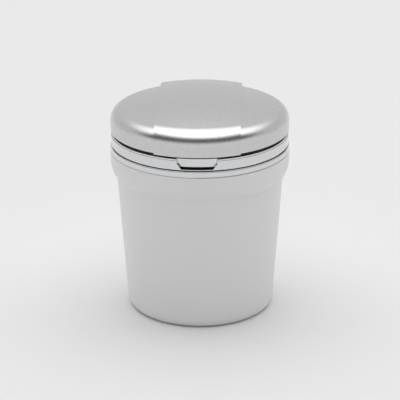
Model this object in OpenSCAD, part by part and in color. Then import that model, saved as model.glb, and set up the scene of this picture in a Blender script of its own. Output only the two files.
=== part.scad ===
// Cup holder ashtray for a car: a tapered cup with a loose ash bucket, a head that
// unscrews from the cup, and a domed lid with a raised band, hinged at the back.
// Millimetres, +Z up. Origin at the middle of the foot. The thumb notch faces -Y,
// the hinge is at +Y.

/* [Cup] */
// Outer radius of the collar, the widest round of the cup
collar_r = 40.2; // [38:0.1:46]
// How far the waist stands inside the collar
waist_inset = 2.7; // [2:0.1:4]
// How far the foot stands inside the waist
foot_inset = 4.3; // [2:0.1:7]
// Height of the waist, where the tapered wall ends
waist_h = 62.5; // [50:0.5:80]
// Height of the rounded shoulder between the waist and the collar
shoulder_h = 7; // [6:0.1:9]
// Height of the upright collar, with the trim ring
collar_h = 7.5; // [7:0.1:11]
// Thickness of the tapered wall
cup_wall = 2; // [1.6:0.1:2.6]
// Thickness of the collar, from its outside to its bore
collar_wall = 2.7; // [2.4:0.1:3.2]
// Thickness of the floor
cup_floor = 3; // [2.4:0.1:5]
// Radius of the round at the edge of the foot
foot_round = 3.2; // [1:0.1:4]
// Height of the ledge that carries the bucket, above the waist
ledge_rise = 3.5; // [2:0.1:4.5]

/* [Foot pad] */
// Outer radius of the non-slip pad
pad_r = 27; // [22:0.5:28]
// Width of the pad, from its outside to its hole
pad_w = 7; // [3:0.5:12]
// Thickness of the pad
pad_t = 1.4; // [1:0.1:1.8]

/* [Ash bucket] */
// Thickness of the drawn sheet
bucket_t = 0.8; // [0.5:0.1:1.2]
// Gap between the bucket and the wall of the cup
bucket_gap = 0.6; // [0.4:0.1:1]
// Radius of the curled edge
curl_r = 0.9; // [0.7:0.05:1]
// Radius of the round at the bottom edge
bucket_round = 5; // [2:0.5:8]

/* [Trim ring] */
// Height of the trim ring
trim_h = 2.8; // [2.2:0.1:4]
// Thickness of the skirt of the trim ring
trim_wall = 1.1; // [0.8:0.1:1.4]
// Thickness of its lip over the edge of the collar
trim_lip = 0.8; // [0.6:0.1:1.2]
// How far the trim ring stands inside the collar
trim_inset = 0.1; // [0:0.05:0.3]
// Round on its edges
trim_round = 0.35; // [0.2:0.05:0.5]

/* [Head ring] */
// Open line between the trim ring and the head ring
ring_gap = 0.4; // [0.3:0.05:0.8]
// Height of the head ring
ring_h = 5; // [4.6:0.1:7]
// Thickness of the wall of the head ring
ring_wall = 1.3; // [1:0.1:1.6]
// Thickness of its lip over the head
ring_lip = 1; // [0.8:0.1:1.3]
// How far the head ring stands inside the collar
ring_inset = 0.4; // [0.2:0.05:0.8]
// Round on its upper edge
ring_top_round = 0.8; // [0.4:0.05:0.9]
// Round on its lower edge
ring_low_round = 0.4; // [0.2:0.05:0.5]

/* [Thumb notch] */
// Width of the notch
notch_w = 17.6; // [14:0.1:22]
// Depth of the notch
notch_d = 1.5; // [1:0.1:1.8]
// Height of the sill left below the notch
notch_sill = 0.5; // [0.4:0.1:1]
// Rise of the sloping sill from its edge to the back of the notch
sill_rise = 0.9; // [0.4:0.1:1.2]
// Size of the cut corners of the notch
notch_corner = 2; // [1:0.1:2.4]
// Thickness of the ring behind the notch
notch_back = 1; // [0.8:0.1:1.2]

/* [Head] */
// Radial room for the thread between the neck and the bore of the collar
thread_room = 0.9; // [0.7:0.05:1.1]
// Length of the neck below the head ring
neck_h = 8.9; // [8:0.1:9.6]
// Thickness of the neck
neck_wall = 2; // [1.6:0.1:2.2]
// Height of the rim above the edge of the lid
rim_rise = 1.2; // [0.8:0.1:1.6]
// Thickness of the rim
rim_wall = 1.7; // [1.4:0.1:2]
// How far back from the axis the rim is cut down to let the lid swing
rim_cut_y = 26; // [22:0.5:27]
// Width of the shelf that carries the plate
shelf_w = 5.7; // [5.4:0.1:7]
// Thickness of the shelf
shelf_t = 1.8; // [1.4:0.1:2.2]
// Depth of the seat of the plate below the top of the head ring
plate_drop = 1.2; // [1:0.1:1.4]
// Thickness of the section of the neck seal
seal_d = 1.2; // [1:0.1:1.4]
// Height of the neck seal below the head ring
seal_drop = 1.9; // [1.6:0.1:2.4]

/* [Plate] */
// Thickness of the pressed plate
plate_t = 0.8; // [0.6:0.1:1]
// Depth of its dish
dish_d = 2.8; // [2.2:0.1:3.6]
// Radius of the ash opening, a half round
opening_r = 23; // [18:0.5:24]
// Distance of the straight side of the opening behind the axis
opening_y = 2.6; // [0:0.1:3]
// Bore radius of the snuffer tubes
snuffer_r = 4.6; // [4.3:0.1:5]
// Wall of the snuffer tubes
snuffer_wall = 0.6; // [0.5:0.1:0.8]
// Length of the snuffer tubes below the plate
snuffer_len = 15; // [10:0.5:18]
// Width of the flange of the snuffer tubes
snuffer_flange = 1; // [0.8:0.1:1.1]
// Distance of each snuffer tube from the middle plane
snuffer_x = 16.5; // [15:0.5:17]
// Distance of the snuffer tubes behind the axis
snuffer_y = 14.4; // [14.2:0.1:15]
// Radius of the two troughs of the cigarette rest
trough_r = 4.1; // [3.9:0.1:4.3]
// Distance of each trough from the middle plane
trough_x = 8; // [7:0.1:8.6]
// Depth of the rest, front to back
rest_w = 3.6; // [3:0.1:4]
// Thickness of the sheet of the rest
rest_t = 0.8; // [0.6:0.1:1]

/* [Lid] */
// How far the wall of the lid stands inside the collar
lid_inset = 0.2; // [0:0.05:0.5]
// Open gap between the head ring and the edge of the lid
lid_gap = 1.6; // [1.2:0.1:2.2]
// Height of the upright wall of the lid
lid_wall_h = 4.1; // [3.6:0.1:6]
// Radius of the shoulder of the lid
lid_round = 5.7; // [4:0.1:6.5]
// Rise of the crown above the upright wall
crown_h = 8.3; // [7.6:0.1:10]
// Thickness of the lid
lid_wall = 1.6; // [1.2:0.1:1.8]
// Height of the raised band over the rest of the lid
band_rise = 1.5; // [1:0.1:1.8]
// Width of the band
band_w = 37.4; // [34:0.1:40]

/* [Lid liner] */
// Thickness of the liner
liner_t = 1.4; // [1.2:0.1:1.8]
// Height of the liner above the rim of the head
liner_lift = 2; // [1.6:0.1:2.2]
// Gap between the skirt of the liner and the rim
skirt_gap = 0.8; // [0.6:0.05:0.9]
// Thickness of the skirt
skirt_wall = 1.2; // [1.1:0.1:1.5]
// Gap between the wall of the lid and the rim of the head
lap_gap = 1.1; // [0.8:0.1:1.4]
// Thickness of the section of the lid seal
lid_seal_d = 1.1; // [0.9:0.1:1.1]

/* [Hinge] */
// Radius of the knuckles
barrel_r = 2.4; // [2.2:0.1:2.4]
// Radius of the pin
pin_r = 1; // [0.8:0.1:1.2]
// Height of the pin above the underside of the head ring
pin_rise = 2.9; // [2.8:0.1:3.1]
// Width of the knuckle of the lid
knuckle_w = 12; // [9:0.5:13]
// Width of each cheek of the head
cheek_w = 3.2; // [2.6:0.1:3.6]
// Thickness of the friction washers
washer_t = 0.3; // [0.2:0.05:0.4]

/* [Screws] */
// Radius of the shanks
screw_r = 0.9; // [0.8:0.05:1]
// Radius of the heads
screw_head_r = 1.65; // [1.5:0.05:1.7]
// Height of the heads
screw_head_h = 0.9; // [0.7:0.05:1.1]
// Length of the shanks
screw_len = 5; // [4:0.5:5.5]
// Radius of the ring of screws in the liner
liner_screw_r = 22; // [18:0.5:26]

/* [Fits] */
// Running clearance round the pin and the screws
pin_fit = 0.05; // [0.03:0.01:0.08]
// Clearance between pieces that are pushed together
push_fit = 0.1; // [0.05:0.05:0.15]
// Clearance between pieces that pass each other
run_gap = 0.35; // [0.3:0.05:0.5]
// Clearance at faces that rest on each other
rest_gap = 0.05; // [0.02:0.01:0.08]

/* [Hidden] */
$fn = 96;
cut = 1; // how far a cutting solid runs past the face that it opens
plate_screw_turns = [270, 30, 150];
liner_screw_turns = [90, 210, 330];

// Cup
waist_r = collar_r - waist_inset;
foot_r = waist_r - foot_inset;
shoulder_top = waist_h + shoulder_h;
collar_top = shoulder_top + collar_h;
bore_r = collar_r - collar_wall;
ledge_h = waist_h + ledge_rise;
taper = (waist_r - foot_r) / waist_h;
// Radius of the arc that leaves the collar upright and meets the waist
shoulder_arc = (shoulder_h * shoulder_h + waist_inset * waist_inset) / (2 * waist_inset);
function wall_r(z) = foot_r + taper * z;

// Trim ring
trim_r = collar_r - trim_inset;
trim_low = collar_top - trim_h;
step_r = trim_r - trim_wall - push_fit;

// Head
head_low = collar_top + ring_gap;
ring_r = collar_r - ring_inset;
ring_top = head_low + ring_h;
flange_r = ring_r - ring_wall - push_fit;
neck_r = bore_r - thread_room;
neck_in = neck_r - neck_wall;
neck_low = head_low - neck_h;
plate_seat = ring_top - plate_drop;
plate_top = plate_seat + plate_t;

// Lid
lid_r = collar_r - lid_inset;
lid_low = ring_top + lid_gap;
lid_side_top = lid_low + lid_wall_h;
lid_in_r = lid_r - lid_wall;
band_r = lid_r + band_rise;
shoulder_x = lid_r - lid_round;
// Radius of the crown, which meets the shoulder without a kink
crown_r = (shoulder_x * shoulder_x + crown_h * crown_h - lid_round * lid_round)
          / (2 * (crown_h - lid_round));
crown_z = lid_side_top + crown_h - crown_r;

// Rim, plate and liner, from the wall of the lid inwards
rim_r = lid_in_r - lap_gap;
rim_in = rim_r - rim_wall;
rim_top = lid_low + rim_rise;
plate_r = rim_in - push_fit * 2;
shelf_in = plate_r - shelf_w;
dish_r = shelf_in - push_fit * 2;
dish_floor = plate_top - dish_d;
liner_low = rim_top + liner_lift;
skirt_r = rim_in - skirt_gap;
skirt_in = skirt_r - skirt_wall;
lid_seal_ring = (skirt_r + skirt_in) / 2;
lid_seal_z = plate_top + rest_gap + lid_seal_d / 2;

// Hinge
hinge_y = ring_r - push_fit - barrel_r;
hinge_z = head_low + pin_rise;
cheek_x = knuckle_w / 2 + washer_t + push_fit;
hinge_half = cheek_x + cheek_w;
pocket_r = barrel_r + run_gap;
pocket_y = hinge_y - pocket_r;

// Screws
plate_screw_ring = shelf_in + screw_head_r + push_fit;
boss_r = screw_r + 1.3;

// A profile in the XZ plane turned about the Z axis
module turned() { rotate_extrude() children(); }

// A disc of radius r at [x, z] of a profile, kept to the side x > 0
module dot2(x, z, r) { translate([x, z]) circle(r = r); }

// A ring of rectangular section
module band_ring(r_out, r_in, z_low, z_high) {
    translate([0, 0, z_low]) difference() {
        cylinder(r = r_out, h = z_high - z_low);
        translate([0, 0, -cut]) cylinder(r = r_in, h = z_high - z_low + 2 * cut);
    }
}

// Half profile of the cup without its hollow, with the step for the trim ring
module cup_outline() {
    foot_x = foot_r - foot_round;
    union() {
        polygon([[0, 0], [foot_x, 0], [wall_r(foot_round), foot_round], [waist_r, waist_h],
                 [collar_r - shoulder_arc, waist_h], [collar_r - shoulder_arc, shoulder_top],
                 [collar_r, shoulder_top], [collar_r, trim_low], [step_r, trim_low],
                 [step_r, collar_top - trim_lip - push_fit], [0, collar_top - trim_lip - push_fit]]);
        intersection() {
            dot2(collar_r - shoulder_arc, shoulder_top, shoulder_arc);
            translate([0, waist_h]) square([collar_r, shoulder_h]);
        }
        intersection() {
            dot2(foot_x, foot_round, foot_round);
            square([foot_r + taper * foot_round, foot_round]);
        }
    }
}

module cup_hollow() {
    polygon([[0, cup_floor], [wall_r(cup_floor) - cup_wall, cup_floor],
             [wall_r(ledge_h) - cup_wall, ledge_h], [bore_r, ledge_h],
             [bore_r, collar_top + cut], [0, collar_top + cut]]);
}

module cup() {
    color("gainsboro") turned() difference() {
        cup_outline();
        cup_hollow();
        translate([pad_r - pad_w - push_fit, -cut])
            square([pad_w + 2 * push_fit, cut + pad_t + rest_gap]);
    }
}

module foot_pad() {
    color("dimgray") band_ring(pad_r, pad_r - pad_w, 0, pad_t);
}

// Drawn bucket whose curled edge rests on the ledge of the cup
module ash_bucket() {
    low = cup_floor + bucket_gap;
    top = ledge_h + 2 * curl_r;
    out_low = wall_r(low) - cup_wall - bucket_gap;
    out_top = wall_r(ledge_h) - cup_wall - bucket_gap;
    curl_x = bore_r - push_fit * 4 - curl_r;
    color("lightgray") turned() union() {
        difference() {
            bucket_fill(out_low, out_top, low, top, bucket_round);
            bucket_fill(out_low - bucket_t, out_top - bucket_t, low + bucket_t, top + cut,
                        bucket_round - bucket_t);
        }
        translate([out_top - bucket_t, top - bucket_t])
            square([curl_x - out_top + bucket_t, bucket_t]);
        dot2(curl_x, top - curl_r, curl_r);
    }
}

// Half profile of a tapered fill with a round at its bottom edge
module bucket_fill(r_low, r_high, z_low, z_high, corner) {
    union() {
        polygon([[0, z_low], [r_low - corner, z_low], [r_low, z_low + corner], [r_high, z_high],
                 [0, z_high]]);
        intersection() {
            dot2(r_low - corner, z_low + corner, corner);
            translate([0, z_low]) square([r_low, corner]);
        }
    }
}

// Half profile of an angle ring: a skirt with a lip at its top, its outer edges round
module angle_profile(r_out, wall, lip_in, z_low, z_high, lip, low_round, top_round) {
    difference() {
        union() {
            translate([lip_in, z_low + low_round])
                square([r_out - lip_in, z_high - z_low - low_round - top_round]);
            translate([lip_in, z_low]) square([r_out - low_round - lip_in, z_high - z_low]);
            translate([lip_in, z_high - lip])
                square([r_out - top_round - lip_in, lip]);
            dot2(r_out - low_round, z_low + low_round, low_round);
        }
        translate([r_out - top_round, z_high - top_round]) difference() {
            square([top_round + cut, top_round + cut]);
            circle(r = top_round);
        }
        translate([lip_in - cut, z_low - cut])
            square([r_out - wall - lip_in + cut, z_high - lip - z_low + cut]);
    }
}

module lower_trim_ring() {
    color("silver") turned()
        angle_profile(trim_r, trim_wall, bore_r, trim_low, collar_top, trim_lip,
                      trim_round, trim_round);
}

module neck_seal() {
    color("black") turned()
        dot2(bore_r - rest_gap - seal_d / 2, head_low - seal_drop, seal_d / 2);
}

// The room that the knuckle of the lid needs in the head, out to the back
module knuckle_room(half) {
    translate([-half, hinge_y, hinge_z]) rotate([0, 90, 0]) cylinder(r = pocket_r, h = 2 * half);
    translate([-half, pocket_y, hinge_z]) cube([2 * half, collar_r, ring_h * 2]);
    translate([-half, hinge_y, neck_low + neck_h - cut]) cube([2 * half, collar_r, ring_h * 2]);
}

// One cheek of the hinge, from x to x + cheek_w
module cheek(x) {
    translate([x, 0, 0]) rotate([90, 0, 90]) linear_extrude(height = cheek_w) union() {
        dot2(hinge_y, hinge_z, barrel_r);
        polygon([[neck_in, head_low], [hinge_y + barrel_r * 0.6, head_low],
                 [hinge_y + barrel_r, hinge_z], [hinge_y - barrel_r, hinge_z],
                 [neck_in, plate_seat]]);
    }
}

module pin_bore(r, half) {
    translate([-half, hinge_y, hinge_z]) rotate([0, 90, 0]) cylinder(r = r, h = 2 * half);
}

// The back of the thumb notch, kept out of the head
module notch_pad(grow) {
    intersection() {
        translate([0, 0, head_low - grow])
            cylinder(r = ring_r - ring_wall + push_fit, h = ring_h - ring_lip / 2 + 2 * grow);
        translate([-notch_w / 2 - notch_back - grow, -collar_r, head_low - grow])
            cube([notch_w + 2 * (notch_back + grow), collar_r, ring_h]);
    }
}

// The head without its hinge cheeks
module head_round() {
    seal_room = seal_d / 2 + push_fit;
    difference() {
        union() {
            turned() polygon([
                [neck_in, neck_low], [neck_r, neck_low], [neck_r, head_low],
                [flange_r, head_low], [flange_r, ring_top - ring_lip - push_fit],
                [rim_r, ring_top - ring_lip - push_fit], [rim_r, rim_top], [rim_in, rim_top],
                [rim_in, plate_seat], [shelf_in, plate_seat], [shelf_in, plate_seat - shelf_t],
                [neck_in, plate_seat - shelf_t - (neck_in - shelf_in) / 2]]);
            for (a = plate_screw_turns) rotate(a)
                translate([plate_screw_ring, 0, plate_seat - screw_len])
                    cylinder(r = boss_r, h = screw_len - shelf_t / 2);
        }
        // groove of the neck seal
        turned() translate([bore_r - rest_gap - seal_d - push_fit, head_low - seal_drop - seal_room])
            square([seal_d + thread_room, 2 * seal_room]);
        // pocket behind the thumb notch
        difference() {
            notch_pad(push_fit);
            cylinder(r = ring_r - notch_d - notch_back - push_fit, h = rim_top);
        }
        knuckle_room(cheek_x);
        translate([-hinge_half - push_fit, hinge_y - barrel_r, hinge_z])
            cube([2 * (hinge_half + push_fit), collar_r, ring_h * 2]);
        // low back of the rim
        translate([-collar_r, rim_cut_y, plate_top + push_fit]) cube([2 * collar_r, collar_r, ring_h * 2]);
        // room for the dish of the plate between the screw bosses
        translate([0, 0, dish_floor - push_fit * 2]) cylinder(r = shelf_in, h = dish_d * 2);
        for (a = plate_screw_turns) rotate(a)
            translate([plate_screw_ring, 0, plate_seat - screw_len - cut])
                cylinder(r = screw_r + pin_fit, h = screw_len + 2 * cut);
    }
}

module head_body() {
    color([0.1, 0.1, 0.11]) difference() {
        union() {
            head_round();
            for (x = [-hinge_half, cheek_x]) cheek(x);
        }
        pin_bore(pin_r + pin_fit, hinge_half + cut);
    }
}

// What the thumb takes out of the head ring: an upright round back, a sloping sill
// and cut lower corners
module notch_cut() {
    low = head_low + notch_sill;
    high = ring_top + cut;
    half = notch_w / 2;
    intersection() {
        translate([0, cut, 0]) rotate([90, 0, 0]) linear_extrude(height = collar_r + 2 * cut)
            polygon([[-half, high], [-half, low + notch_corner], [notch_corner - half, low],
                     [half - notch_corner, low], [half, low + notch_corner], [half, high]]);
        turned() polygon([[ring_r - notch_d, high], [ring_r - notch_d, low + sill_rise],
                          [ring_r, low], [ring_r + cut, low - sill_rise * cut / notch_d],
                          [ring_r + cut, high]]);
    }
}

module head_ring() {
    color("silver") difference() {
        union() {
            turned() angle_profile(ring_r, ring_wall, rim_r + push_fit, head_low, ring_top,
                                   ring_lip, ring_low_round, ring_top_round);
            difference() {
                notch_pad(0);
                cylinder(r = ring_r - notch_d - notch_back, h = rim_top);
            }
        }
        notch_cut();
        translate([-hinge_half - run_gap, 0, head_low - cut])
            cube([2 * (hinge_half + run_gap), collar_r + cut, ring_h + 2 * cut]);
    }
}

// Outline of the ash opening: a half round with its straight side at the back
module ash_opening() {
    corner = 3;
    intersection() {
        circle(r = opening_r);
        union() {
            translate([-opening_r, -opening_r]) square([2 * opening_r, opening_r + opening_y - corner]);
            translate([corner - opening_r, -opening_r])
                square([2 * (opening_r - corner), opening_r + opening_y]);
            for (s = [-1, 1]) translate([s * (opening_r - corner), opening_y - corner])
                circle(r = corner);
        }
    }
}

module top_plate() {
    color("darkgray") difference() {
        union() {
            translate([0, 0, plate_seat + rest_gap]) cylinder(r = plate_r, h = plate_t - rest_gap);
            translate([0, 0, dish_floor]) cylinder(r = dish_r, h = dish_d);
        }
        translate([0, 0, dish_floor + plate_t]) cylinder(r = dish_r - plate_t, h = dish_d);
        translate([0, 0, dish_floor - cut]) linear_extrude(height = dish_d) ash_opening();
        translate([-plate_r, pocket_y - run_gap, plate_seat - cut])
            cube([2 * plate_r, plate_r, plate_t + 2 * cut]);
        for (s = [-1, 1]) translate([s * snuffer_x, snuffer_y, dish_floor - cut])
            cylinder(r = snuffer_r + snuffer_wall + pin_fit, h = dish_d);
        for (a = plate_screw_turns) rotate(a)
            translate([plate_screw_ring, 0, plate_seat - cut])
                cylinder(r = screw_r + push_fit, h = plate_t + 2 * cut);
    }
}

// A round-headed screw with a cross slot, its head resting at z = 0, shank downwards
module screw() {
    slot_w = screw_head_r * 0.3;
    union() {
        difference() {
            cylinder(r = screw_head_r, h = screw_head_h);
            for (a = [0, 90]) rotate(a)
                translate([-screw_head_r * 0.65, -slot_w / 2, screw_head_h * 0.45])
                    cube([screw_head_r * 1.3, slot_w, screw_head_h]);
        }
        translate([0, 0, -screw_len]) cylinder(r = screw_r, h = screw_len + screw_head_h / 4);
    }
}

module plate_screws() {
    color("gray") for (a = plate_screw_turns) rotate(a)
        translate([plate_screw_ring, 0, plate_top + rest_gap]) screw();
}

// A tube with a flange that lies on the plate
module snuffer_tube(side) {
    out_r = snuffer_r + snuffer_wall;
    low = dish_floor - snuffer_len;
    seat = dish_floor + plate_t + rest_gap;
    color("silver") translate([side * snuffer_x, snuffer_y, 0]) turned() difference() {
        union() {
            translate([snuffer_r, low]) square([snuffer_wall, seat - low]);
            translate([snuffer_r, seat]) square([snuffer_wall + snuffer_flange, snuffer_wall]);
        }
        translate([snuffer_r, seat + snuffer_wall]) circle(r = snuffer_wall * 0.6);
    }
}

module snuffer_tube_left() { snuffer_tube(-1); }

module snuffer_tube_right() { snuffer_tube(1); }

// A bent strip with two troughs, standing on its feet behind the ash opening
module cigarette_rest() {
    top = trough_r + rest_t;
    leg_x = trough_x + trough_r + rest_t + 0.8;
    color("silver")
    translate([0, opening_y + 1 + rest_w, dish_floor + plate_t + rest_gap])
    rotate([90, 0, 0]) linear_extrude(height = rest_w) difference() {
        union() {
            for (s = [-1, 1]) {
                translate([s * trough_x, top]) circle(r = top);
                translate([s * leg_x - rest_t / 2, 0]) square([rest_t, top]);
                translate([s > 0 ? leg_x - rest_t / 2 : -leg_x - 3, 0])
                    square([3 + rest_t / 2, rest_t]);
            }
            translate([-leg_x - rest_t / 2, top - rest_t]) square([2 * leg_x + rest_t, rest_t]);
        }
        for (s = [-1, 1]) translate([s * trough_x, top]) circle(r = trough_r);
        translate([-leg_x - cut, top]) square([2 * (leg_x + cut), top + cut]);
    }
}

module hinge_pin() {
    color("gray") pin_bore(pin_r, hinge_half);
}

module hinge_washers() {
    color("gray") for (s = [0, 1]) mirror([s, 0, 0])
        translate([knuckle_w / 2 + push_fit / 2, hinge_y, hinge_z]) rotate([0, 90, 0]) difference() {
            cylinder(r = barrel_r - push_fit, h = washer_t);
            translate([0, 0, -cut]) cylinder(r = pin_r + pin_fit, h = washer_t + 2 * cut);
        }
}

// Half profile of the dome of the lid, filled down to z_low and set in by a distance
module dome_outline(inset, z_low) {
    r = lid_round - inset;
    // how far out the shoulder meets the crown
    meet_x = shoulder_x * (1 + r / (crown_r - lid_round));
    intersection() {
        union() {
            translate([0, z_low - cut]) square([shoulder_x + r, lid_side_top - z_low + cut]);
            dot2(shoulder_x, lid_side_top, r);
            intersection() {
                dot2(0, crown_z, crown_r - inset);
                translate([0, z_low - cut]) square([meet_x, crown_h * 3]);
            }
        }
        translate([0, z_low]) square([2 * collar_r, crown_h * 3]);
    }
}

// The strip of the lid that the raised band covers, set in by a distance
module band_strip(inset) {
    half = band_w / 2 - inset;
    translate([-half, -band_r - cut, lid_low - 2 * cut])
        cube([2 * half, 2 * (band_r + cut), crown_h * 3]);
}

// The lid as a filled form, set in by a distance
module lid_form(inset, z_low) {
    turned() dome_outline(inset, z_low);
    intersection() {
        turned() dome_outline(inset - band_rise, z_low);
        band_strip(inset);
    }
}

// The web from the knuckle up into the back wall of the lid
module knuckle() {
    intersection() {
        translate([-knuckle_w / 2, 0, 0]) rotate([90, 0, 90]) linear_extrude(height = knuckle_w)
            union() {
                dot2(hinge_y, hinge_z, barrel_r);
                polygon([[hinge_y - barrel_r / 2, hinge_z], [hinge_y + barrel_r, hinge_z],
                         [hinge_y + barrel_r, lid_low], [band_r, lid_low],
                         [band_r, lid_side_top], [hinge_y - barrel_r / 2, lid_side_top]]);
            }
        cylinder(r = band_r - lid_wall / 2, h = lid_side_top + cut);
    }
}

module lid_shell() {
    color("lightgray") difference() {
        union() {
            difference() {
                lid_form(0, lid_low);
                lid_form(lid_wall, lid_low - cut);
            }
            intersection() {
                lid_form(lid_wall / 2, lid_low);
                for (a = liner_screw_turns) rotate(a)
                    translate([liner_screw_r, 0, liner_low + liner_t + rest_gap])
                        cylinder(r = boss_r, h = crown_h * 2);
            }
            knuckle();
        }
        pin_bore(pin_r + pin_fit, knuckle_w);
        for (a = liner_screw_turns) rotate(a)
            translate([liner_screw_r, 0, liner_low]) cylinder(r = screw_r + pin_fit, h = screw_len + cut);
    }
}

module lid_liner() {
    color([0.1, 0.1, 0.11]) difference() {
        union() {
            translate([0, 0, liner_low]) cylinder(r = lid_in_r - push_fit * 3, h = liner_t);
            band_ring(skirt_r, skirt_in, lid_seal_z, liner_low + liner_t / 2);
        }
        turned() dot2(lid_seal_ring, lid_seal_z, lid_seal_d / 2 + rest_gap);
        translate([-knuckle_w / 2 - run_gap, hinge_y - barrel_r / 2 - run_gap, lid_low])
            cube([knuckle_w + 2 * run_gap, collar_r, ring_h * 2]);
        for (a = liner_screw_turns) rotate(a)
            translate([liner_screw_r, 0, liner_low - cut])
                cylinder(r = screw_r + push_fit, h = liner_t + 2 * cut);
    }
}

module lid_seal() {
    color("black") turned() dot2(lid_seal_ring, lid_seal_z, lid_seal_d / 2);
}

module lid_screws() {
    color("gray") for (a = liner_screw_turns) rotate(a)
        translate([liner_screw_r, 0, liner_low - rest_gap]) mirror([0, 0, 1]) screw();
}

cup();
foot_pad();
ash_bucket();
lower_trim_ring();
neck_seal();
head_body();
head_ring();
top_plate();
plate_screws();
snuffer_tube_left();
snuffer_tube_right();
cigarette_rest();
hinge_pin();
hinge_washers();
lid_shell();
lid_liner();
lid_seal();
lid_screws();
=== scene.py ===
import logging
import math
from dataclasses import dataclass, field
from enum import Enum

import bmesh
import bpy
import numpy as np
from mathutils import Matrix, Vector


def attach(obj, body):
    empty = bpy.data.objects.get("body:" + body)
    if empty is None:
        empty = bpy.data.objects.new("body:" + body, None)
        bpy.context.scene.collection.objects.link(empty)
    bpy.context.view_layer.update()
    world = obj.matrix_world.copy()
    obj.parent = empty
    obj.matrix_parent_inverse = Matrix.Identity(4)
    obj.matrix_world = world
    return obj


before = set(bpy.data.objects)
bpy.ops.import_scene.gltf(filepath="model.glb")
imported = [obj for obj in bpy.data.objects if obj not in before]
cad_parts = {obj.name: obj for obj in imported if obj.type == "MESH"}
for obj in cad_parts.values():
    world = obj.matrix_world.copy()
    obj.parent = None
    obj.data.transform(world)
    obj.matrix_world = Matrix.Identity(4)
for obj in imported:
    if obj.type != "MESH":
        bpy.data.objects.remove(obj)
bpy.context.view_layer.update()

MM = 0.001
IMAGE_SIDE = 400
SAME_POINT = 1e-7
RIDGE_SINK = 0.15
STEPS_A_TURN = 180
RUN_OUTS_A_TURN = 12
LEAST_SWELL = 0.02
END_WIDTH = 0.4
log = logging.getLogger("ashtray")


class Body(Enum):
    """The rigid bodies of the ashtray that pieces ride on."""

    CUP = "cup"
    SEAL = "seal"
    HEAD = "head"
    LID = "lid"


class Pattern(Enum):
    """How the fine marks of a finish run over its surface."""

    GRAIN = "grain"
    BRUSHED = "brushed"
    TURNED = "turned"


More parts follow.
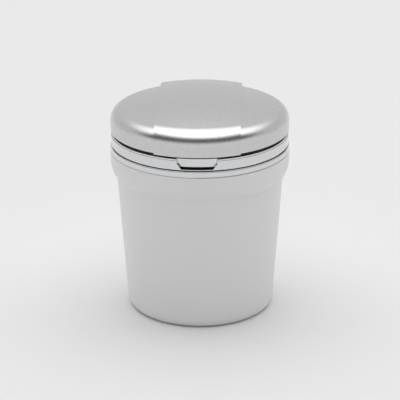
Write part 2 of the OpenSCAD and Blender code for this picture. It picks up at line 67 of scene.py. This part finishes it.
@dataclass(frozen=True)
class Finish:
    """One surface finish, with its colour, its gloss and its fine marks.

    The marks follow Object coordinates, so they stay on the piece when it moves.
    """

    name: str
    colour: tuple[float, float, float]
    roughness: float
    metallic: float = 0.0
    coat: float = 0.0
    pattern: Pattern = Pattern.GRAIN
    mark_mm: float = 0.3
    tone: float = 0.04
    gloss_spread: float = 0.05
    relief: float = 0.05
    coat_roughness: float = 0.08
    mark_depth: float = 0.2
    mark_detail: float = 3.0
    mark_roughness: float = 0.6
    brush_squeeze: float = 0.04
    darkest_mark: float = 0.3
    lightest_mark: float = 0.7
    least_roughness: float = 0.02

    def build(self) -> bpy.types.Material:
        """Makes the node material of this finish.

        Returns:
            The material, ready to be put in a slot.
        """
        material = bpy.data.materials.new(self.name)
        material.use_nodes = True
        tree = material.node_tree
        shader = tree.nodes["Principled BSDF"]
        shader.inputs["Metallic"].default_value = self.metallic
        shader.inputs["Coat Weight"].default_value = self.coat
        shader.inputs["Coat Roughness"].default_value = self.coat_roughness
        marks = self._marks(tree)
        self._tint(tree, shader, marks)
        self._gloss(tree, shader, marks)
        bump = tree.nodes.new("ShaderNodeBump")
        bump.inputs["Strength"].default_value = self.relief
        bump.inputs["Distance"].default_value = self.mark_mm * MM * self.mark_depth
        tree.links.new(marks, bump.inputs["Height"])
        tree.links.new(bump.outputs["Normal"], shader.inputs["Normal"])
        return material

    def _marks(self, tree: bpy.types.NodeTree) -> bpy.types.NodeSocket:
        """Adds the noise that draws the marks.

        Args:
            tree: The node tree of the material.

        Returns:
            The socket that carries the strength of the marks, from 0 to 1.
        """
        place = tree.nodes.new("ShaderNodeTexCoord").outputs["Object"]
        noise = tree.nodes.new("ShaderNodeTexNoise")
        noise.inputs["Scale"].default_value = 1.0 / (self.mark_mm * MM)
        noise.inputs["Detail"].default_value = self.mark_detail
        noise.inputs["Roughness"].default_value = self.mark_roughness
        if self.pattern is Pattern.BRUSHED:
            stretch = tree.nodes.new("ShaderNodeMapping")
            stretch.inputs["Scale"].default_value = (self.brush_squeeze, 1.0, 1.0)
            tree.links.new(place, stretch.inputs["Vector"])
            tree.links.new(stretch.outputs["Vector"], noise.inputs["Vector"])
        elif self.pattern is Pattern.TURNED:
            tree.links.new(self._round_the_axis(tree, place), noise.inputs["Vector"])
        else:
            tree.links.new(place, noise.inputs["Vector"])
        return noise.outputs["Fac"]

    def _round_the_axis(self, tree: bpy.types.NodeTree,
                        place: bpy.types.NodeSocket) -> bpy.types.NodeSocket:
        """Turns a place into its distance from the Z axis and its height.

        Args:
            tree: The node tree of the material.
            place: The socket with the place on the piece.

        Returns:
            A vector socket whose marks run round the axis, as turning marks do.
        """
        split = tree.nodes.new("ShaderNodeSeparateXYZ")
        tree.links.new(place, split.inputs["Vector"])
        flat = tree.nodes.new("ShaderNodeCombineXYZ")
        tree.links.new(split.outputs["X"], flat.inputs["X"])
        tree.links.new(split.outputs["Y"], flat.inputs["Y"])
        length = tree.nodes.new("ShaderNodeVectorMath")
        length.operation = "LENGTH"
        tree.links.new(flat.outputs["Vector"], length.inputs[0])
        joined = tree.nodes.new("ShaderNodeCombineXYZ")
        tree.links.new(length.outputs["Value"], joined.inputs["X"])
        tree.links.new(split.outputs["Z"], joined.inputs["Z"])
        return joined.outputs["Vector"]

    def _tint(self, tree: bpy.types.NodeTree, shader: bpy.types.Node,
              marks: bpy.types.NodeSocket) -> None:
        """Lets the marks lighten and darken the colour a little.

        Args:
            tree: The node tree of the material.
            shader: The Principled shader.
            marks: The socket of the marks.
        """
        ramp = tree.nodes.new("ShaderNodeValToRGB")
        low, high = ramp.color_ramp.elements
        low.position, high.position = self.darkest_mark, self.lightest_mark
        low.color = (*(c * (1 - self.tone) for c in self.colour), 1.0)
        high.color = (*(min(1.0, c * (1 + self.tone)) for c in self.colour), 1.0)
        tree.links.new(marks, ramp.inputs["Fac"])
        tree.links.new(ramp.outputs["Color"], shader.inputs["Base Color"])

    def _gloss(self, tree: bpy.types.NodeTree, shader: bpy.types.Node,
               marks: bpy.types.NodeSocket) -> None:
        """Lets the marks change the roughness a little.

        Args:
            tree: The node tree of the material.
            shader: The Principled shader.
            marks: The socket of the marks.
        """
        spread = tree.nodes.new("ShaderNodeMapRange")
        smoothest = max(self.least_roughness, self.roughness - self.gloss_spread)
        spread.inputs["To Min"].default_value = smoothest
        spread.inputs["To Max"].default_value = self.roughness + self.gloss_spread
        tree.links.new(marks, spread.inputs["Value"])
        tree.links.new(spread.outputs["Result"], shader.inputs["Roughness"])


CUP_LACQUER = Finish("cup_lacquer", (0.74, 0.74, 0.745), 0.42, metallic=0.25, coat=0.15,
                     mark_mm=0.25, tone=0.015, gloss_spread=0.03, relief=0.03)
LID_LACQUER = Finish("lid_satin_lacquer", (0.63, 0.63, 0.635), 0.27, metallic=0.95,
                     mark_mm=0.22, tone=0.06, gloss_spread=0.05, relief=0.12)
BRIGHT_PLATE = Finish("bright_plate", (0.72, 0.725, 0.735), 0.05, metallic=1.0,
                      pattern=Pattern.GRAIN, mark_mm=2.5, tone=0.01, gloss_spread=0.015, relief=0.01)
BLACK_MOULDING = Finish("black_moulding", (0.018, 0.018, 0.019), 0.5,
                        pattern=Pattern.GRAIN, mark_mm=0.35, tone=0.25, gloss_spread=0.08, relief=0.35)
DRAWN_STEEL = Finish("drawn_steel", (0.58, 0.575, 0.565), 0.26, metallic=1.0,
                     pattern=Pattern.TURNED, mark_mm=0.4, tone=0.07, gloss_spread=0.08, relief=0.2)
BRUSHED_STEEL = Finish("brushed_steel", (0.6, 0.6, 0.6), 0.3, metallic=1.0,
                       pattern=Pattern.BRUSHED, mark_mm=0.25, tone=0.07, gloss_spread=0.08, relief=0.2)
ZINC = Finish("zinc_plate", (0.52, 0.52, 0.515), 0.34, metallic=1.0,
              pattern=Pattern.GRAIN, mark_mm=0.5, tone=0.06, gloss_spread=0.08, relief=0.08)
PAD_RUBBER = Finish("pad_rubber", (0.035, 0.035, 0.037), 0.75,
                    pattern=Pattern.GRAIN, mark_mm=0.5, tone=0.2, gloss_spread=0.06, relief=0.3)
SEAL_RUBBER = Finish("seal_rubber", (0.02, 0.02, 0.02), 0.55,
                     pattern=Pattern.GRAIN, mark_mm=0.4, tone=0.15, gloss_spread=0.05, relief=0.15)


@dataclass
class Dresser:
    """Builds each finish once and puts it on pieces."""

    made: dict[str, bpy.types.Material] = field(default_factory=dict)

    def material(self, finish: Finish) -> bpy.types.Material:
        """Finds the material of a finish, which is built at its first use.

        Args:
            finish: The finish that is asked for.

        Returns:
            Its one material.
        """
        if finish.name not in self.made:
            self.made[finish.name] = finish.build()
        return self.made[finish.name]

    def node(self, name: str, finish: Finish) -> None:
        """Gives a CAD node its finish.

        Args:
            name: The node's name.
            finish: What its surface is.
        """
        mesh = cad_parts[name].data
        mesh.materials.clear()
        mesh.materials.append(self.material(finish))
        log.info("dressed %s in %s", name, finish.name)

    def piece(self, piece: bpy.types.Object, finish: Finish, body: Body, slot: str) -> None:
        """Gives a new piece its finish and its body.

        Args:
            piece: The new piece.
            finish: What its surface is.
            body: What it moves with.
            slot: The name of a material slot; not used.
        """
        piece.data.materials.append(self.material(finish))
        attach(piece, body.value)
        log.info("added %s, %d faces, on %s", piece.name, len(piece.data.polygons), body.value)


def mesh_piece(name: str, points: np.ndarray, quads: np.ndarray,
               triangles: np.ndarray) -> bpy.types.Object:
    """Makes a closed smooth piece from four-sided faces and triangles.

    Args:
        name: The piece's name.
        points: One row per point, in millimetres.
        quads: One row of four point numbers per face.
        triangles: One row of three point numbers per face.

    Returns:
        The linked object, at the origin, in metres, with its faces outwards.
    """
    mesh = bpy.data.meshes.new(name)
    mesh.from_pydata((points * MM).tolist(), [], quads.tolist() + triangles.tolist())
    work = bmesh.new()
    work.from_mesh(mesh)
    bmesh.ops.remove_doubles(work, verts=work.verts, dist=SAME_POINT)
    bmesh.ops.recalc_face_normals(work, faces=work.faces)
    work.to_mesh(mesh)
    work.free()
    mesh.shade_smooth()
    piece = bpy.data.objects.new(name, mesh)
    bpy.context.scene.collection.objects.link(piece)
    return piece


def grid_faces(rows: int, columns: int, round_rows: bool, round_columns: bool) -> np.ndarray:
    """The faces of a grid of points.

    Face (i, j) joins the points (i, j), (i+1, j), (i+1, j+1) and (i, j+1), where a number
    past the end starts again at 0 in a direction that closes on itself.

    Args:
        rows: How many rows of points there are.
        columns: How many columns of points there are.
        round_rows: Whether the last row joins the first.
        round_columns: Whether the last column joins the first.

    Returns:
        One row of four point numbers per face.
    """
    i = np.arange(rows if round_rows else rows - 1)
    j = np.arange(columns if round_columns else columns - 1)
    i, j = (g.ravel() for g in np.meshgrid(i, j, indexing="ij"))
    i_next, j_next = (i + 1) % rows, (j + 1) % columns
    return np.stack([i * columns + j, i_next * columns + j,
                     i_next * columns + j_next, i * columns + j_next], axis=1)


def helix_ridge(name: str, root_r: float, crest_r: float, low: float, lead: float,
                turns: float, start_deg: float, width: float) -> bpy.types.Object:
    """A thread ridge round the Z axis.

    At the angle a along the helix the section is a trapezoid whose root lies at root_r and
    whose crest lies at crest_r. The height is low + lead * a / 360. The crest runs out to
    the root over the first and the last twelfth of a turn.

    Args:
        name: The piece's name.
        root_r: Radius of the wall that carries the ridge, in millimetres.
        crest_r: Radius of the crest, in millimetres.
        low: Height of the middle of the ridge at its start, in millimetres.
        lead: Rise in one whole turn, in millimetres.
        turns: How many turns the ridge runs.
        start_deg: The angle at which it starts.
        width: Width of the ridge at its root, in millimetres.

    Returns:
        The closed ridge.
    """
    sink = RIDGE_SINK * np.sign(root_r - crest_r)
    steps = int(STEPS_A_TURN * turns)
    along = np.linspace(0.0, turns, steps)
    ends = np.minimum(along, turns - along) * RUN_OUTS_A_TURN
    swell = np.clip(ends, LEAST_SWELL, 1.0)
    angle = np.radians(start_deg) + 2 * math.pi * along
    side = np.array([-0.5, -0.42, -0.14, 0.14, 0.42, 0.5]) * width
    out = np.array([-1.0, 0.0, 1.0, 1.0, 0.0, -1.0])
    crest = root_r + (crest_r - root_r) * swell[:, None]
    radius = np.where(out > 0, crest, np.where(out < 0, root_r + sink, root_r))
    share = END_WIDTH + (1 - END_WIDTH) * swell[:, None]
    height = low + lead * along[:, None] + side * share
    points = np.stack([radius * np.cos(angle)[:, None], radius * np.sin(angle)[:, None], height],
                      axis=-1)
    sections = len(side)
    faces = grid_faces(steps, sections, False, True)
    first = points[0].mean(axis=0)
    last = points[-1].mean(axis=0)
    every = np.vstack([points.reshape(-1, 3), first, last])
    tip = len(every) - 2
    ring = np.arange(sections)
    back = (steps - 1) * sections
    next_in_ring = (ring + 1) % sections
    caps = np.vstack([np.stack([ring, next_in_ring, np.full(sections, tip)], axis=1),
                      np.stack([back + ring, back + next_in_ring,
                                np.full(sections, tip + 1)], axis=1)])
    return mesh_piece(name, every, faces, caps)


@dataclass
class Thread:
    """The two-start thread between the cup and the head, which turns and lifts the head."""

    lead: float = 8.0
    starts: int = 2
    turns: float = 0.496
    width: float = 2.0
    neck_r: float = 36.6
    neck_crest: float = 37.2
    bore_r: float = 37.5
    bore_crest: float = 36.9
    neck_low: float = 69.9
    bore_low: float = 67.6

    def build(self, dresser: Dresser) -> None:
        """Adds the ridges of the neck and, half a pitch away, those of the bore.

        Args:
            dresser: Puts the finishes on.
        """
        for start in range(self.starts):
            turn = 360 * start / self.starts
            male = helix_ridge(f"neck_thread_{start + 1}", self.neck_r, self.neck_crest,
                               self.neck_low, self.lead, self.turns, turn, self.width)
            dresser.piece(male, BLACK_MOULDING, Body.HEAD, "black_plastic")
            female = helix_ridge(f"collar_thread_{start + 1}", self.bore_r, self.bore_crest,
                                 self.bore_low, self.lead, self.turns, turn, self.width)
            dresser.piece(female, CUP_LACQUER, Body.CUP, "cup_plastic")


@dataclass
class DressedGroup:
    """Nodes that belong together, each with its finish."""

    finishes: dict[str, Finish] = field(default_factory=dict)

    def build(self, dresser: Dresser) -> None:
        """Dresses the nodes of the group.

        Args:
            dresser: Puts the finishes on.
        """
        for name, finish in self.finishes.items():
            dresser.node(name, finish)


@dataclass
class CupGroup(DressedGroup):
    """The cup with its foot pad, its bucket, its trim ring and the seal in its collar."""

    finishes: dict[str, Finish] = field(default_factory=lambda: {
        "cup": CUP_LACQUER,
        "foot_pad": PAD_RUBBER,
        "ash_bucket": DRAWN_STEEL,
        "lower_trim_ring": BRIGHT_PLATE,
        "neck_seal": SEAL_RUBBER,
    })


@dataclass
class HeadGroup(DressedGroup):
    """The screw-off head, with its ring, its plate and its snuffer tubes."""

    finishes: dict[str, Finish] = field(default_factory=lambda: {
        "head_body": BLACK_MOULDING,
        "head_ring": BRIGHT_PLATE,
        "top_plate": BRUSHED_STEEL,
        "plate_screws": ZINC,
        "snuffer_tube_left": DRAWN_STEEL,
        "snuffer_tube_right": DRAWN_STEEL,
        "cigarette_rest": BRUSHED_STEEL,
        "hinge_pin": ZINC,
        "hinge_washers": ZINC,
    })


@dataclass
class LidGroup(DressedGroup):
    """The hinged lid with its heat shield, its seal and its screws."""

    finishes: dict[str, Finish] = field(default_factory=lambda: {
        "lid_shell": LID_LACQUER,
        "lid_liner": BLACK_MOULDING,
        "lid_seal": SEAL_RUBBER,
        "lid_screws": ZINC,
    })


@dataclass
class Studio:
    """A pale floor under soft light, with a dark wall on the side of the camera."""

    floor_side: float = 12.0
    floor_tone: float = 0.8
    zenith: float = 1.9
    back_wall: float = 0.66
    horizon: float = 0.95
    dark_wall: float = 0.05
    paper_roughness: float = 0.9
    paper_specular: float = 0.1
    front_end: float = -0.35
    back_start: float = 0.15

    def build(self) -> None:
        """Adds the floor and the light of the room."""
        self._floor()
        self._room()
        view = bpy.context.scene.view_settings
        view.view_transform = "Standard"
        view.look = "None"

    def _floor(self) -> None:
        """Adds the floor, a flat square that isn't part of the object."""
        half = self.floor_side / 2
        mesh = bpy.data.meshes.new("floor")
        mesh.from_pydata([(-half, -half, 0), (half, -half, 0), (half, half, 0), (-half, half, 0)],
                         [], [(0, 1, 2, 3)])
        floor = bpy.data.objects.new("floor", mesh)
        bpy.context.scene.collection.objects.link(floor)
        material = bpy.data.materials.new("floor_paper")
        material.use_nodes = True
        shader = material.node_tree.nodes["Principled BSDF"]
        shader.inputs["Base Color"].default_value = (self.floor_tone,) * 3 + (1.0,)
        shader.inputs["Roughness"].default_value = self.paper_roughness
        shader.inputs["Specular IOR Level"].default_value = self.paper_specular
        mesh.materials.append(material)

    def _room(self) -> None:
        """Makes the light of the room, which depends on the height and side of the wall."""
        world = bpy.data.worlds.new("room")
        bpy.context.scene.world = world
        world.use_nodes = True
        tree = world.node_tree
        tree.nodes.clear()
        out = tree.nodes.new("ShaderNodeOutputWorld")
        seen = tree.nodes.new("ShaderNodeBackground")
        seen.inputs["Color"].default_value = (1.0, 1.0, 1.0, 1.0)
        lit = tree.nodes.new("ShaderNodeBackground")
        tree.links.new(self._wall_tones(tree), lit.inputs["Color"])
        pick = tree.nodes.new("ShaderNodeMixShader")
        ray = tree.nodes.new("ShaderNodeLightPath")
        tree.links.new(ray.outputs["Is Camera Ray"], pick.inputs["Fac"])
        tree.links.new(lit.outputs["Background"], pick.inputs[1])
        tree.links.new(seen.outputs["Background"], pick.inputs[2])
        tree.links.new(pick.outputs["Shader"], out.inputs["Surface"])

    def _wall_tones(self, tree: bpy.types.NodeTree) -> bpy.types.NodeSocket:
        """Grades the walls by height, apart for the front and the back.

        Args:
            tree: The node tree of the world.

        Returns:
            The socket with the tone of the wall in each direction.
        """
        place = tree.nodes.new("ShaderNodeTexCoord").outputs["Generated"]
        split = tree.nodes.new("ShaderNodeSeparateXYZ")
        tree.links.new(place, split.inputs["Vector"])
        front = self._ramp(tree, split.outputs["Z"], [
            (0.0, self.horizon), (0.30, self.horizon * 0.8), (0.42, self.dark_wall),
            (0.76, self.dark_wall), (0.86, self.zenith), (1.0, self.zenith)])
        back = self._ramp(tree, split.outputs["Z"], [
            (0.0, self.back_wall * 1.1), (0.36, self.back_wall), (0.6, self.back_wall),
            (0.86, self.zenith), (1.0, self.zenith)])
        side = tree.nodes.new("ShaderNodeMapRange")
        side.interpolation_type = "SMOOTHSTEP"
        side.inputs["From Min"].default_value = self.front_end
        side.inputs["From Max"].default_value = self.back_start
        tree.links.new(split.outputs["Y"], side.inputs["Value"])
        mix = tree.nodes.new("ShaderNodeMix")
        mix.data_type = "RGBA"
        tree.links.new(side.outputs["Result"], mix.inputs[0])
        tree.links.new(front, mix.inputs[6])
        tree.links.new(back, mix.inputs[7])
        return mix.outputs[2]

    def _ramp(self, tree: bpy.types.NodeTree, height: bpy.types.NodeSocket,
              stops: list[tuple[float, float]]) -> bpy.types.NodeSocket:
        """A ramp of grey tones over the height of a direction.

        Args:
            tree: The node tree of the world.
            height: The socket with the upward share of the direction.
            stops: Pairs of height and tone, from low to high.

        Returns:
            The socket with the tone.
        """
        scale = max(tone for _, tone in stops)
        ramp = tree.nodes.new("ShaderNodeValToRGB")
        elements = ramp.color_ramp.elements
        while len(elements) < len(stops):
            elements.new(0.5)
        for element, (position, tone) in zip(elements, stops):
            element.position = position
            element.color = (tone / scale,) * 3 + (1.0,)
        tree.links.new(height, ramp.inputs["Fac"])
        gain = tree.nodes.new("ShaderNodeVectorMath")
        gain.operation = "SCALE"
        gain.inputs["Scale"].default_value = scale
        tree.links.new(ramp.outputs["Color"], gain.inputs[0])
        return gain.outputs["Vector"]


@dataclass
class PhotoCamera:
    """The camera of the photograph, as fitted to the outlines of the object."""

    distance: float = 800.0
    aim_height: float = 45.0
    elevation_deg: float = 21.39
    tilt_up_rad: float = 0.0045
    roll_rad: float = 0.005
    turn_deg: float = 1.85
    focal_px: float = 1752.96
    shift_px: float = 0.15
    sensor_mm: float = 36.0
    nearest_m: float = 0.05
    farthest_m: float = 50.0

    def build(self) -> None:
        """Adds the camera and makes it the scene's own."""
        data = bpy.data.cameras.new("photo_camera")
        data.sensor_width = self.sensor_mm
        data.lens = self.focal_px * self.sensor_mm / IMAGE_SIDE
        data.shift_x = -self.shift_px / IMAGE_SIDE
        data.clip_start, data.clip_end = self.nearest_m, self.farthest_m
        camera = bpy.data.objects.new("photo_camera", data)
        bpy.context.scene.collection.objects.link(camera)
        rise = math.radians(self.elevation_deg)
        pitch = rise - self.tilt_up_rad
        place = Vector((0, -self.distance * math.cos(rise),
                        self.aim_height + self.distance * math.sin(rise))) * MM
        ahead = Vector((0, math.cos(pitch), -math.sin(pitch)))
        right = Vector((1, 0, 0))
        up = Vector((0, math.sin(pitch), math.cos(pitch)))
        roll_cos, roll_sin = math.cos(self.roll_rad), math.sin(self.roll_rad)
        turned_right = roll_cos * right - roll_sin * up
        turned_up = roll_sin * right + roll_cos * up
        axes = Matrix((turned_right, turned_up, -ahead)).transposed()
        spin = Matrix.Rotation(math.radians(self.turn_deg), 3, "Z")
        camera.matrix_world = Matrix.Translation(spin @ place) @ (spin @ axes).to_4x4()
        bpy.context.scene.camera = camera


def main() -> None:
    """Builds the studio and dresses the ashtray, one group after another."""
    logging.basicConfig(level=logging.INFO, format="%(message)s")
    PhotoCamera().build()
    Studio().build()
    dresser = Dresser()
    for group in (CupGroup(), HeadGroup(), LidGroup(), Thread()):
        group.build(dresser)


if __name__ == "__main__":
    main()
